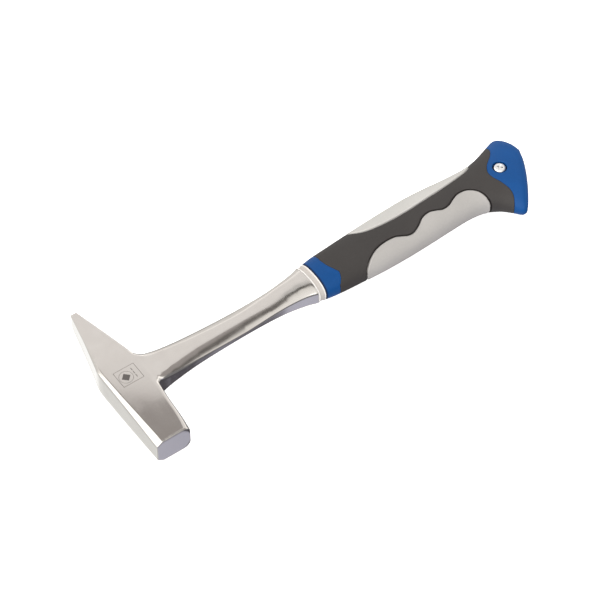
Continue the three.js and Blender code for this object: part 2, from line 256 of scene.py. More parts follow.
def closed_mesh(name, verts, faces, dissolve=False):
    """A mesh from mid-plane millimetre points, welded, with its faces turned outward."""
    mesh = bpy.data.meshes.new(name)
    points = np.asarray(verts, float).reshape(-1, 3) * MM
    points[:, 2] += CHEEK_HALF * MM
    mesh.from_pydata(points.tolist(), [], faces)
    work = bmesh.new()
    work.from_mesh(mesh)
    bmesh.ops.remove_doubles(work, verts=work.verts, dist=WELD)
    if dissolve:
        bmesh.ops.dissolve_degenerate(work, edges=work.edges, dist=WELD / 2)
    bmesh.ops.recalc_face_normals(work, faces=work.faces)
    work.to_mesh(mesh)
    work.free()
    return mesh


def add_object(name, data):
    """A new object in the scene."""
    thing = bpy.data.objects.new(name, data)
    bpy.context.scene.collection.objects.link(thing)
    return thing


def make_piece(name, verts, faces, replaced, sharp=SHARP_EDGE):
    """A visual piece, tied to the frame, with the node that it replaces hidden."""
    piece = add_object(name, closed_mesh(name, verts, faces, dissolve=True))
    finish_shading(piece, sharp)
    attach(piece, "root")
    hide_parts(replaced)
    return piece


def finish_shading(piece, sharp):
    """Smooth shading, broken at edges that turn by more than the given degrees."""
    mesh = piece.data
    mesh.polygons.foreach_set("use_smooth", [True] * len(mesh.polygons))
    mesh.set_sharp_from_angle(angle=math.radians(sharp))
    mesh.update()


def patch_solid(outer, inner):
    """Vertices and faces of a closed slab between two grids of the same shape."""
    rows, cols = outer.shape[:2]
    count = rows * cols
    verts = np.concatenate([outer.reshape(-1, 3), inner.reshape(-1, 3)])
    faces = grid_faces(rows, cols) + grid_faces(rows, cols, start=count)
    rim = list(range(cols))
    rim += [r * cols + cols - 1 for r in range(1, rows)]
    rim += [(rows - 1) * cols + c for c in range(cols - 2, -1, -1)]
    rim += [r * cols for r in range(rows - 2, 0, -1)]
    for k, a in enumerate(rim):
        b = rim[(k + 1) % len(rim)]
        faces.append((a, b, b + count, a + count))
    return verts, faces


def cut(piece, cutter):
    """Takes the cutter's volume out of the piece."""
    modifier = piece.modifiers.new("cut", "BOOLEAN")
    modifier.operation = "DIFFERENCE"
    modifier.solver = "EXACT"
    modifier.object = cutter
    bpy.context.view_layer.update()
    done = piece.evaluated_get(bpy.context.evaluated_depsgraph_get())
    mesh = bpy.data.meshes.new_from_object(done)
    piece.modifiers.clear()
    old = piece.data
    piece.data = mesh
    bpy.data.meshes.remove(old)
    bpy.data.objects.remove(cutter)


def lathe_points(profile, centre, segments):
    """Points of a turned shape from (radius, height) pairs about an upright axis."""
    rows = []
    for radius, height in profile:
        turn = np.arange(segments) / segments * 2 * math.pi
        rows.append(np.stack([
            centre[0] + radius * np.cos(turn),
            centre[1] + radius * np.sin(turn),
            np.full(segments, float(height)),
        ], axis=-1))
    return np.array(rows)


# -------- forging

def head_row(y):
    """Head section values at y, with the creases between sections eased."""
    y = np.asarray(y, float)
    value = np.stack([np.interp(y, HEAD[:, 0], HEAD[:, k]) for k in range(7)], axis=-1)
    ease = np.zeros_like(value)
    spread = 2.6 * smooth_step((y + 50) / 8) * smooth_step((60.5 - y) / 5)
    offsets = np.linspace(-1, 1, 9)
    for offset in offsets:
        at = y + offset * spread
        ease += np.stack([np.interp(at, HEAD[:, 0], HEAD[:, k]) for k in range(7)], axis=-1)
    value = ease / len(offsets)
    value[..., 0] = y
    return value


def shank_row(x):
    """Shank section values at x."""
    t = np.interp(x, SHANK[:, 0], np.arange(len(SHANK)))
    low = smooth_rows(SHANK, t)
    for step in range(4):
        t = t + (x - low[..., 0]) / 8.0
        t = np.clip(t, 0, len(SHANK) - 1)
        low = smooth_rows(SHANK, t)
    return low


def forged_height(x, y):
    """Half-thickness of the forging at a plan point."""
    row = head_row(y)
    top_x, top_half, edge_x, half, back_x, bevel = [row[..., k] for k in range(1, 7)]
    slope = (half - top_half) / np.maximum(edge_x - top_x, 0.15)
    head = smooth_min(half, top_half + (x - top_x) * slope, 0.12)
    past = np.clip(x - (back_x - bevel), 0, bevel)
    turned = half - bevel + np.sqrt(np.maximum(bevel**2 - past**2, 0))
    head = np.minimum(head, turned) - 4 * np.maximum(x - back_x, 0)
    head = np.maximum(head, 1.0)
    shank = shank_row(np.clip(x, SHANK_START, SHANK_END))
    side = np.where(y >= 0, shank[..., 1], shank[..., 2])
    across = np.abs(y / side)
    power = np.interp(x, *CROWN_POWER)
    share = np.interp(x, *CROWN_SHARE)
    fall = share * across**power + (1 - share) * across**9
    crown = shank[..., 4] - (shank[..., 4] - shank[..., 3]) * fall
    crown = np.where((np.abs(y) > side + 5) | (x < SHANK_START), 0.5, np.maximum(crown, 0.5))
    crown = smooth_min(crown, half, 0.6)
    return np.minimum(smooth_max(head, crown, 0.25), half)


def eased_height(x, y):
    """Half-thickness with the corners where the shank leaves the head rounded off."""
    height = forged_height(x, y)
    reach = 1.2
    total = height.copy()
    for turn in np.arange(8) * math.pi / 4:
        beside = forged_height(x + reach * math.cos(turn), y + reach * math.sin(turn))
        total += np.maximum(beside, height - 1.3)
    side = np.abs(y)
    near = smooth_step((x - 7) / 2.5) * smooth_step((18 - x) / 3.5)
    near = near * smooth_step((side - 8) / 3) * smooth_step((18.5 - side) / 3)
    return height * (1 - near) + total / 9 * near


def edge_drop(distance, radius=0.4):
    """How far a rounded edge lies below the face, at a distance in from the side."""
    inside = np.clip(distance, 0, radius)
    return radius - np.sqrt(np.maximum(radius**2 - (radius - inside) ** 2, 0))


def head_patch(root_y):
    """Grid points of the head's upper half, with the rows where the shank leaves it."""
    rows_y = np.concatenate([
        [FACE_Y, -53.66, -53.6, -53.5, -53.36], np.linspace(-53.2, -52.4, 8),
        np.linspace(-52.0, -15.9, 56), root_y, np.linspace(15.1, 60.8, 60),
        [61.2, 61.5, 61.68, 61.8, TIP_Y],
    ])
    row = head_row(rows_y)
    top_x, edge_x, back_x, bevel = row[:, 1], row[:, 3], row[:, 5], row[:, 6]
    rolled = np.array([0, 0.06, 0.15, 0.27, 0.42])
    chamfer = np.concatenate([rolled, np.linspace(0.75, 1, 5)])
    columns = []
    for k in range(len(rows_y)):
        width = max(edge_x[k] - top_x[k], 0.5)
        first = top_x[k] + np.where(chamfer < 0.5, chamfer, chamfer * width)
        begin = first[-1] + 0.25
        turn = back_x[k] - bevel[k] * (1 - np.sin(np.linspace(0, math.pi / 2, 15)[1:]))
        middle = np.linspace(begin, back_x[k] - bevel[k], 40)
        columns.append(np.concatenate([np.sort(first), middle, turn]))
    x = np.array(columns)
    y = np.repeat(rows_y[:, None], x.shape[1], axis=1)
    gap = np.minimum(x - top_x[:, None], np.minimum(y - FACE_Y, TIP_Y - y))
    z = eased_height(x, y) - edge_drop(gap)
    in_root = (rows_y >= ROOT_LOW - 1e-6) & (rows_y <= ROOT_HIGH + 1e-6)
    return np.stack([x, y, z], -1), in_root


def shank_patch(root):
    """Grid points of the shank's upper half, from its root on the head into the collar."""
    steps = np.concatenate([[0, 0.004, 0.008, 0.012, 0.016, 0.021, 0.027, 0.035, 0.044, 0.054],
                            np.linspace(0.065, 1, 168)])
    straight = np.linspace(-1, 1, ROOT_COLS)
    rows_x = []
    rows_y = []
    for f in steps:
        x = root[:, 0] + (SHANK_TIP - root[:, 0]) * f
        values = shank_row(np.clip(x, SHANK_START, SHANK_END))
        target = np.where(straight >= 0, straight * values[:, 1], straight * values[:, 2])
        blend = min(f / 0.012, 1.0)
        rows_x.append(x)
        rows_y.append(root[:, 1] * (1 - blend) + target * blend)
    x = np.array(rows_x)
    y = np.array(rows_y)
    side_gap = np.minimum(y - y[:, :1], y[:, -1:] - y)
    z = eased_height(x, y) - edge_drop(side_gap, 0.3)
    z[0] = root[:, 2]
    return np.stack([x, y, z], -1)


def forging_shell():
    """Head and shank as one closed shell: the upper half, its mirror and the walls between."""
    head, in_root = head_patch(np.linspace(ROOT_LOW, ROOT_HIGH, ROOT_COLS))
    shank = shank_patch(head[in_root, -1])
    top = bmesh.new()
    for patch in (head, shank):
        rows, cols = patch.shape[:2]
        verts = [top.verts.new(p) for p in patch.reshape(-1, 3)]
        for face in grid_faces(rows, cols):
            top.faces.new([verts[k] for k in face])
    bmesh.ops.remove_doubles(top, verts=top.verts, dist=0.012)
    top.verts.index_update()
    points = [tuple(v.co) for v in top.verts]
    faces = [tuple(v.index for v in f.verts) for f in top.faces]
    rim = [(e.verts[0].index, e.verts[1].index) for e in top.edges if len(e.link_faces) == 1]
    top.free()
    count = len(points)
    verts = points + [(x, y, -z) for x, y, z in points]
    faces += [tuple(k + count for k in reversed(f)) for f in faces]
    levels = 7
    column = {}
    for a in sorted({k for edge in rim for k in edge}):
        x, y, z = points[a]
        column[a] = [a]
        for step in range(1, levels):
            column[a].append(len(verts))
            verts.append((x, y, z * (1 - 2 * step / levels)))
        column[a].append(a + count)
    for a, b in rim:
        for step in range(levels):
            faces.append((column[a][step], column[b][step], column[b][step + 1], column[a][step + 1]))
    return verts, faces


def oval(half_w, half_t, power, segments):
    """Closed superellipse section as (y, z) rows."""
    angle = (np.arange(segments) + 0.5) / segments * 2 * math.pi
    c, s = np.cos(angle), np.sin(angle)
    return np.stack([np.sign(c) * np.abs(c) ** (2 / power) * half_w,
                     np.sign(s) * np.abs(s) ** (2 / power) * half_t], -1)


def tang_shell(start):
    """The tang inside the grip, as a closed bar whose points are numbered from start."""
    rows = []
    for x, half_w in TANG:
        section = oval(half_w, TANG_HALF, 4, TANG_POINTS)
        rows.append(np.concatenate([np.full((TANG_POINTS, 1), x), section], axis=1))
    verts = np.array(rows).reshape(-1, 3)
    faces = grid_faces(len(rows), TANG_POINTS, close_cols=True, start=start)
    last = start + (len(rows) - 1) * TANG_POINTS
    faces.append(tuple(start + k for k in range(TANG_POINTS)))
    faces.append(tuple(last + k for k in range(TANG_POINTS - 1, -1, -1)))
    return verts, faces


def build_forging():
    verts, faces = forging_shell()
    tang_verts, tang_faces = tang_shell(len(verts))
    return make_piece("forged_hammer", np.concatenate([np.array(verts), tang_verts]),
                      faces + tang_faces, "hammer_forging", 32)


# -------- grip surface

def grip_point(t, angle, depth=0.0):
    """Point of the grip's surface at ring position t and section angle, set in by a depth."""
    ring = smooth_rows(RINGS, t)
    c, s = np.cos(angle), np.sin(angle)
    pick = c >= 0
    cx, cy, half, bow = ring[..., 0], ring[..., 1], ring[..., 6], ring[..., 7]
    ex = np.where(pick, ring[..., 2], ring[..., 4])
    ey = np.where(pick, ring[..., 3], ring[..., 5])
    reach = np.hypot(ex - cx, ey - cy)
    across = np.abs(c) ** (2 / ROUNDNESS) * (reach - depth) / reach
    bulge = 4 * bow * across * (1 - across) * np.where(pick, 0.15, 1.0)
    x = cx + (ex - cx) * across + bulge
    y = cy + (ey - cy) * across
    z = np.sign(s) * np.abs(s) ** (2 / ROUNDNESS) * (half - depth)
    return np.stack([x, y, z], -1)


def grip_place(x, y):
    """Ring position and upper section angle of the surface point over a plan point."""
    low = np.zeros_like(x)
    high = np.full_like(x, float(LAST_RING))
    for halving in range(HALVINGS):
        t = (low + high) / 2
        ring = smooth_rows(RINGS, t)
        pick = y >= ring[..., 1]
        ex = np.where(pick, ring[..., 2], ring[..., 4])
        ey = np.where(pick, ring[..., 3], ring[..., 5])
        w = np.clip((y - ring[..., 1]) / (ey - ring[..., 1]), 0, 1)
        found = ring[..., 0] + (ex - ring[..., 0]) * w
        low = np.where(found < x, t, low)
        high = np.where(found < x, high, t)
    turn = np.arccos(np.clip(w ** (ROUNDNESS / 2), 0, 1))
    return t, np.where(pick, turn, math.pi - turn)


def seam_ring(seam, angle):
    """Ring position where each section angle meets a seam that runs across the grip."""
    line = smooth_line(seam)
    order = np.argsort(line[:, 1])
    low = np.zeros_like(angle)
    high = np.full_like(angle, float(LAST_RING))
    for halving in range(HALVINGS):
        t = (low + high) / 2
        point = grip_point(t, angle)
        goal = np.interp(point[..., 1], line[order, 1], line[order, 0])
        low = np.where(point[..., 0] < goal, t, low)
        high = np.where(point[..., 0] < goal, high, t)
    return (low + high) / 2


def ring_pace(t):
    """Millimetres along the grip for one ring position."""
    a = smooth_rows(RINGS, np.clip(t - 0.05, 0, LAST_RING))
    b = smooth_rows(RINGS, np.clip(t + 0.05, 0, LAST_RING))
    return np.maximum((b[..., 0] - a[..., 0]) / 0.1, 1.0)


def tube_rows(start_t, end_t, count, angle, depth_at=None):
    """Outer rows between two seams, with their edges rolled in."""
    rows = []
    for along, sink in ROLL:
        rows.append(grip_point(start_t + along / ring_pace(start_t), angle, sink))
    head = start_t + ROLL_END / ring_pace(start_t)
    tail = end_t - ROLL_END / ring_pace(end_t)
    for f in np.linspace(0, 1, count):
        t = head + (tail - head) * f
        sink = 0.0 if depth_at is None else depth_at(grip_point(t, angle))
        rows.append(grip_point(t, angle, sink))
    for along, sink in reversed(ROLL):
        rows.append(grip_point(end_t - along / ring_pace(end_t), angle, sink))
    return rows


def section_angles(count):
    """Section angles spread evenly round the grip's outline."""
    fine = np.linspace(0, 2 * math.pi, 4001)
    loop = grip_point(np.full_like(fine, 7.0), fine)
    run = np.concatenate([[0], np.cumsum(np.linalg.norm(np.diff(loop, axis=0), axis=1))])
    return np.interp(np.arange(count) / count * run[-1], run, fine)


def inner_rows(start_t, end_t, count, angle):
    """Rows on the inside of the skin."""
    steps = np.linspace(0, 1, count)
    return [grip_point(start_t + (end_t - start_t) * f, angle, SKIN) for f in steps]


def seam_on_surface(seam, gap):
    """Dense ring positions and upper angles along a panel's seam, between its two ends."""
    line = smooth_line(seam, 30)
    run = np.concatenate([[0], np.cumsum(np.linalg.norm(np.diff(line, axis=0), axis=1))])
    side = np.sign(line[:, 1].mean())
    normal = np.gradient(line, axis=0)
    normal /= np.linalg.norm(normal, axis=1)[:, None]
    line = line + np.stack([-normal[:, 1], normal[:, 0]], -1) * gap * side
    place = np.linspace(0, run[-1], 900)
    line = np.stack([np.interp(place, run, line[:, k]) for k in range(2)], -1)
    t, angle = grip_place(line[:, 0], line[:, 1])
    goal = 0.0 if side > 0 else math.pi
    inside = np.abs(angle - goal) > 0.02
    first, last = np.where(inside)[0][[0, -1]]
    t, angle = t[first:last + 1], angle[first:last + 1]
    points = grip_point(t, angle)
    run = np.concatenate([[0], np.cumsum(np.linalg.norm(np.diff(points, axis=0), axis=1))])
    place = np.linspace(0, run[-1], 240)
    return np.interp(place, run, t), np.interp(place, run, angle), goal


def tree_of(points):
    """A search tree over the points."""
    tree = kdtree.KDTree(len(points))
    for k, point in enumerate(points):
        tree.insert(point, k)
    tree.balance()
    return tree


def panel(name, seam, node, rise):
    """A panel let into the grip, wrapping its side from the upper seam to the lower one."""
    t, angle, goal = seam_on_surface(seam, PANEL_GAP)
    across = np.concatenate([
        [0, 0.006, 0.016, 0.03, 0.05], np.linspace(0.075, 0.925, 56), [0.95, 0.97, 0.984, 0.994, 1],
    ])
    other = 2 * goal - angle
    grid_t = np.repeat(t[:, None], len(across), axis=1)
    grid_a = angle[:, None] * (1 - across) + other[:, None] * across
    flat = grip_point(grid_t, grid_a)
    tree = tree_of(np.concatenate([flat[:, 0], flat[:, -1], flat[0], flat[-1]]))
    gap = np.array([tree.find(p)[2] for p in flat.reshape(-1, 3)]).reshape(flat.shape[:2])
    bead = 0.17 * np.exp(-(((gap - 0.75) / 0.38) ** 2))
    sink = edge_drop(gap, 0.5) - rise * smooth_step(gap / 1.2) - bead
    outer = grip_point(grid_t, grid_a, sink)
    inner = grip_point(grid_t, grid_a, np.full_like(sink, PANEL_BACK))
    verts, faces = patch_solid(outer, inner)
    return make_piece(name, verts, faces, node)


def panel_tree(seam):
    """A search tree over the whole outline of a panel's window."""
    t, angle, goal = seam_on_surface(seam, 0.0)
    outline = [grip_point(t, angle), grip_point(t, 2 * math.pi - angle)]
    for k in (0, -1):
        bridge = np.linspace(angle[k], 2 * goal - angle[k], 12)
        outline.append(grip_point(np.full(12, t[k]), bridge))
    return tree_of(np.concatenate(outline))


def inside_panel(points, seam):
    """Whether plan points lie on the panel's side of its seam."""
    line = smooth_line(seam, 12)
    side = np.sign(line[:, 1].mean())
    order = np.argsort(line[:, 0])
    level = np.interp(points[..., 0], line[order, 0], line[order, 1])
    within = (points[..., 0] > line[:, 0].min()) & (points[..., 0] < line[:, 0].max())
    return within & ((points[..., 1] - level) * side > 0)


def seam_gaps(flat, trees):
    """For each window, the points near it and their distances from its outline."""
    for seam, tree in trees:
        near = (flat[:, 0] > seam[0][0] - 4) & (flat[:, 0] < seam[-1][0] + 4)
        index = np.where(near)[0]
        yield seam, index, np.array([tree.find(flat[k])[2] for k in index])


def pocket_depth(points, trees):
    """Depth of the grooves and pockets that the panels sit in."""
    flat = points.reshape(-1, 3)
    depth = np.zeros(len(flat))
    for seam, index, gap in seam_gaps(flat, trees):
        inside = inside_panel(flat[index], seam)
        groove = GROOVE_DEPTH * np.exp(-((gap / 0.55) ** 2))
        pocket = POCKET_DEPTH + (GROOVE_DEPTH - POCKET_DEPTH) * np.exp(-((gap / 0.5) ** 2))
        depth[index] = np.maximum(depth[index], np.where(inside, pocket, groove))
    return depth.reshape(points.shape[:-1])


def window_shade(points, trees):
    """Painted shade: one at the edge of a panel's window, falling to nothing a little way from it."""
    flat = points.reshape(-1, 3)
    shade = np.zeros(len(flat))
    for seam, index, gap in seam_gaps(flat, trees):
        shade[index] = np.maximum(shade[index], np.exp(-((gap / 0.8) ** 4)))
    return shade.reshape(points.shape[:-1])


def paint_seam_shade(piece, amount):
    """Stores how far each point lies in a seam, for the material to darken as painted shade."""
    layer = piece.data.attributes.new("seam", "FLOAT", "POINT")
    layer.data.foreach_set("value", np.asarray(amount, dtype=np.float32).reshape(-1))


def tube_piece(name, rows, node):
    """A ring-shaped piece from rows that run over its outside and back along its inside."""
    faces = grid_faces(len(rows), len(rows[0]), True, True)
    return make_piece(name, np.array(rows), faces, node)


def build_band(angle, chevron_t):
    first = np.zeros_like(angle)
    rows = tube_rows(first, chevron_t - SEAM_GAP / ring_pace(chevron_t), 26, angle)
    rows += inner_rows(chevron_t - 0.02, first + 0.02, 6, angle)
    band = tube_piece("blue_band", rows, "blue_front_band")
    # painted shade: the blue darkens along its front edge, next to the collar
    paint_seam_shade(band, smooth_step((BAND_SHADE_X - np.array(rows)[..., 0]) / 0.5))
    return band


def build_soft_grip(angle, chevron_t, butt_t):
    trees = [(seam, panel_tree(seam)) for seam in (FINGER_SEAM, PALM_SEAM)]
    rows = tube_rows(chevron_t + SEAM_GAP / ring_pace(chevron_t),
                     butt_t - SEAM_GAP / ring_pace(butt_t), 330,
                     angle, lambda points: pocket_depth(points, trees))
    rows += inner_rows(butt_t - 0.02, chevron_t + 0.02, 40, angle)
    body = tube_piece("soft_grip", rows, "soft_grip_body")
    # painted shade: the rubber darkens along the edges of the panels' windows
    paint_seam_shade(body, smooth_step((window_shade(np.array(rows), trees) - 0.05) / 0.4))
    return body


def cap_rows(angle, butt_t):
    """Rows of the cap from its closed front, over the outside, to its closed end."""
    start = butt_t + SEAM_GAP / ring_pace(butt_t)
    rows = []
    for squash in (0.0, 0.35, 0.7):
        ring = grip_point(np.full_like(angle, CAP_RING), angle, SKIN)
        ring[:, 2] *= squash
        rows.append(ring)
    rows += inner_rows(CAP_RING, start, 12, angle)
    for along, sink in ROLL:
        rows.append(grip_point(start + along / ring_pace(start), angle, sink))
    head = start + ROLL_END / ring_pace(start)
    for f in np.linspace(0, 1, 64) ** 0.92:
        t = head + (LAST_RING - head) * f
        ring = grip_point(t, angle, 0.02)
        crown_y = smooth_rows(RINGS, t)[:, 1]
        ridge = np.exp(-(((ring[:, 1] - crown_y) / 5.5) ** 2))
        ring[:, 0] -= (0.75 + 0.7 * ridge) * smooth_step((t - 15.5) / 2.5)
        rows.append(ring)
    edge = rows[-1]
    for f in np.linspace(0, 1, 15)[1:]:
        ring = edge.copy()
        ring[:, 0] += 0.7 * (1 - (1 - f) ** 2.5) * np.abs(edge[:, 2]) / edge[:, 2].max()
        ring[:, 1] -= 0.2 * f
        ring[:, 2] = edge[:, 2] * (1 - f)
        rows.append(ring)
    return rows


def build_cap(angle, butt_t):
    rows = cap_rows(angle, butt_t)
    cap = make_piece("butt_end_cap", np.array(rows), grid_faces(len(rows), len(angle), False, True),
                     "butt_cap")
    for side in (1, -1):
        profile = [(0.001, 5), (WELL_R, 5), (WELL_R, 11.55), (WELL_R + 0.45, 12.05),
                   (WELL_R + 1.4, 14), (0.001, 14)]
        well = lathe_points([(r, z * side) for r, z in profile], SCREW, SCREW_POINTS)
        faces = grid_faces(len(profile), SCREW_POINTS, close_cols=True)
        cut(cap, add_object("well_cutter", closed_mesh("well_cutter", well, faces)))
    finish_shading(cap, SHARP_EDGE)
    return cap


# -------- collar and screw

def build_collar():
    rows = []
    for x, rise in COLLAR:
        grow = (x - COLLAR_START) / 5.0
        section = oval(13.8 + 0.3 * grow + rise, 9.0 + 0.2 * grow + rise, ROUNDNESS, COLLAR_POINTS)
        rows.append(np.concatenate([np.full((COLLAR_POINTS, 1), x), section], axis=1))
    for x in (137.4, 132.45):
        section = oval(10.4, 5.1, 4, COLLAR_POINTS)
        rows.append(np.concatenate([np.full((COLLAR_POINTS, 1), x), section], axis=1))
    return tube_piece("collar_ring", rows, "front_collar")


def recess_blade(turn, blade, base, side):
    """A tapered blade that cuts one arm across the screw's recess."""
    length, width, floor = blade
    corners = []
    for z, grow in ((base + floor, 0.55), (base + 3.6, 1.15)):
        for a, b in ((-1, -1), (1, -1), (1, 1), (-1, 1)):
            u, v = a * length * grow, b * width * grow
            corners.append((SCREW[0] + u * math.cos(turn) - v * math.sin(turn),
                            SCREW[1] + u * math.sin(turn) + v * math.cos(turn), z * side))
    faces = grid_faces(2, 4, close_cols=True) + [(0, 1, 2, 3), (7, 6, 5, 4)]
    return add_object("blade", closed_mesh("blade", corners, faces))


def build_screw(side, name, node):
    """Pan-headed fastener with a cross recess, its head on the upper or the lower side."""
    base = SEAT_Z + 0.3
    profile = [(0.001, base), (2.0, base), (3.7, base), (4.0, base + 0.12),
               (SCREW_HEAD_R, base + 0.35)]
    for k in range(9):
        turn = k / 8 * math.pi / 2
        profile.append((SCREW_HEAD_R - 2.0 + 2.0 * math.cos(turn),
                        base + 1.55 + 1.25 * math.sin(turn)))
    profile += [(1.2, base + 2.88), (0.001, base + 2.9)]
    rows = lathe_points([(r, z * side) for r, z in profile], SCREW, SCREW_POINTS)
    piece = make_piece(name, rows, grid_faces(len(profile), SCREW_POINTS, close_cols=True),
                       node, SCREW_SHARP_EDGE)
    for k in range(4):
        blade = LONG_BLADE if k % 2 == 0 else SHORT_BLADE
        cut(piece, recess_blade(math.radians(RECESS_TURN + 45 * k), blade, base, side))
    finish_shading(piece, SCREW_SHARP_EDGE)
    return piece


# -------- materials

class Graph:
    """A new material with a principled surface and short ways to add nodes."""

    def __init__(self, name):
        self.material = bpy.data.materials.new(name)
        self.material.use_nodes = True
        self.tree = self.material.node_tree
        self.surface = self.tree.nodes["Principled BSDF"]
        self.position = self.tree.nodes.new("ShaderNodeTexCoord").outputs["Object"]

    def link(self, a, b):
        self.tree.links.new(a, b)

    def noise(self, scale, detail=3.0, rough=0.5, stretch=None):
        where = self.position
        if stretch:
            mapping = self.tree.nodes.new("ShaderNodeMapping")
            mapping.inputs["Scale"].default_value = stretch
            self.link(where, mapping.inputs["Vector"])
            where = mapping.outputs["Vector"]
        node = self.tree.nodes.new("ShaderNodeTexNoise")
        node.inputs["Scale"].default_value = scale
        node.inputs["Detail"].default_value = detail
        node.inputs["Roughness"].default_value = rough
        self.link(where, node.inputs["Vector"])
        return node.outputs["Fac"]

    def ramp(self, value, stops):
        node = self.tree.nodes.new("ShaderNodeValToRGB")
        ramp = node.color_ramp
        while len(ramp.elements) < len(stops):
            ramp.elements.new(0.5)
        for element, (place, colour) in zip(ramp.elements, stops):
            element.position = place
            element.color = (*colour, 1)
        self.link(value, node.inputs["Fac"])
        return node.outputs["Color"]

    def math(self, kind, a, b=None, clamp=False):
        node = self.tree.nodes.new("ShaderNodeMath")
        node.operation = kind
        node.use_clamp = clamp
        for socket, value in zip(node.inputs, (a, b)):
            if value is None:
                continue
            if isinstance(value, (int, float)):
                socket.default_value = value
            else:
                self.link(value, socket)
        return node.outputs["Value"]

    def range(self, value, low, high, to_low, to_high):
        node = self.tree.nodes.new("ShaderNodeMapRange")
        node.inputs["From Min"].default_value = low
        node.inputs["From Max"].default_value = high
        node.inputs["To Min"].default_value = to_low
        node.inputs["To Max"].default_value = to_high
        self.link(value, node.inputs["Value"])
        return node.outputs["Result"]

    def mix(self, factor, a, b):
        node = self.tree.nodes.new("ShaderNodeMix")
        node.data_type = "RGBA"
        for socket, value in ((node.inputs[0], factor), (node.inputs[6], a), (node.inputs[7], b)):
            if isinstance(value, tuple):
                socket.default_value = (*value, 1)
            elif isinstance(value, (int, float)):
                socket.default_value = value
            else:
                self.link(value, socket)
        return node.outputs[2]

    def bump(self, height, strength, distance, before=None):
        node = self.tree.nodes.new("ShaderNodeBump")
        node.inputs["Strength"].default_value = strength
        node.inputs["Distance"].default_value = distance
        self.link(height, node.inputs["Height"])
        if before is not None:
            self.link(before, node.inputs["Normal"])
        return node.outputs["Normal"]

    def axes(self):
        node = self.tree.nodes.new("ShaderNodeSeparateXYZ")
        self.link(self.position, node.inputs["Vector"])
        return node.outputs

    def recolour(self, factor, colour):
        """Turns the base colour into another one where the factor is high."""
        socket = self.surface.inputs["Base Color"]
        self.link(self.mix(factor, socket.links[0].from_socket, colour), socket)


def forged_steel():
    """Ground steel with a pitted rim round the striking face and a dark mark on the cheek."""
    g = Graph("forged_steel")
    tone = g.noise(26, 4, 0.55)
    cloud = g.noise(110, 5, 0.6)
    colour = g.mix(0.5, g.ramp(tone, [(0.3, (0.625, 0.595, 0.56)), (0.7, (0.67, 0.645, 0.61))]),
                   g.ramp(cloud, [(0.3, (0.615, 0.585, 0.55)), (0.72, (0.68, 0.655, 0.62))]))
    x, y, z = g.axes()
    mark = stamp_mask(g, x, y, z)
    g.link(g.mix(mark, colour, (0.1, 0.09, 0.085)), g.surface.inputs["Base Color"])
    g.surface.inputs["Metallic"].default_value = 1.0
    fine = g.noise(1500, 2, 0.6)
    grind = g.noise(420, 3, 0.6, (0.25, 1.0, 1.0))
    rough = g.range(cloud, 0.3, 0.7, 0.12, 0.18)
    struck = g.range(y, -0.0529, -0.0521, 1.0, 0.0)
    face = g.range(y, -0.0536, -0.0534, 1.0, 0.0)
    rim = g.math("MULTIPLY", struck, g.math("SUBTRACT", 1.0, face, True), True)
    g.link(g.math("ADD", rough, g.math("MULTIPLY", rim, 0.08)), g.surface.inputs["Roughness"])
    soft = g.bump(grind, 0.08, 0.0001)
    soft = g.bump(fine, 0.08, 0.00003, soft)
    pits = g.math("MULTIPLY", g.noise(750, 4, 0.7), rim)
    soft = g.bump(pits, 0.45, 0.0004, soft)
    soft = g.bump(g.math("SUBTRACT", 1.0, mark), 0.5, 0.00012, soft)
    g.link(soft, g.surface.inputs["Normal"])
    return g.material


STAMP = (-1.65, -0.7)
STAMP_HALF_A = 7.25
STAMP_HALF_B = 6.2
STAMP_SCALE = 6.7
STAMP_RING = (-3.7, -1.2)
STAMP_RING_R = 4.5
STAMP_STRENGTH = 0.88
# centre, turn in degrees, half-length and half-width
STAMP_BARS = [(-3.7, -1.2, 45, 2.2, 2.2),
              (2.3, -3.6, 90, 1.1, 0.22), (2.3, -0.7, 90, 1.1, 0.22), (2.3, 2.2, 90, 1.1, 0.22)]


def stamp_mask(g, x, y, z):
    """A plain mark on the upper cheek: a frame, a ring with a diamond in it, and three dashes."""
    def away(origin, value):
        return g.math("SUBTRACT", value, origin * MM)

    def near(value, width):
        low, high = width * 0.5 - 0.05, width * 0.5 + 0.05
        return g.range(g.math("ABSOLUTE", value), low * MM, high * MM, 1.0, 0.0)

    def times(value, factor):
        return g.math("MULTIPLY", value, factor)

    a = g.math("DIVIDE", g.math("ABSOLUTE", away(STAMP[0], x)), STAMP_HALF_A * MM)
    b = g.math("DIVIDE", g.math("ABSOLUTE", away(STAMP[1], y)), STAMP_HALF_B * MM)
    reach = times(g.math("MAXIMUM", a, b), STAMP_SCALE * MM)
    mask = near(g.math("SUBTRACT", reach, STAMP_SCALE * MM), 0.24)
    u, v = away(STAMP_RING[0], x), away(STAMP_RING[1], y)
    radius = g.math("SQRT", g.math("ADD", times(u, u), times(v, v)))
    mask = g.math("MAXIMUM", mask, near(away(STAMP_RING_R, radius), 0.2))
    for cx, cy, degrees, length, width in STAMP_BARS:
        c, s = math.cos(math.radians(degrees)), math.sin(math.radians(degrees))
        u, v = away(cx, x), away(cy, y)
        along = g.math("ADD", times(u, c), times(v, s))
        across = g.math("SUBTRACT", times(v, c), times(u, s))
        mask = g.math("MAXIMUM", mask, times(near(along, 2 * length), near(across, 2 * width)))
    upper = g.math("GREATER_THAN", z, 2 * CHEEK_HALF * MM - 0.0004)
    return times(times(mask, upper), STAMP_STRENGTH)


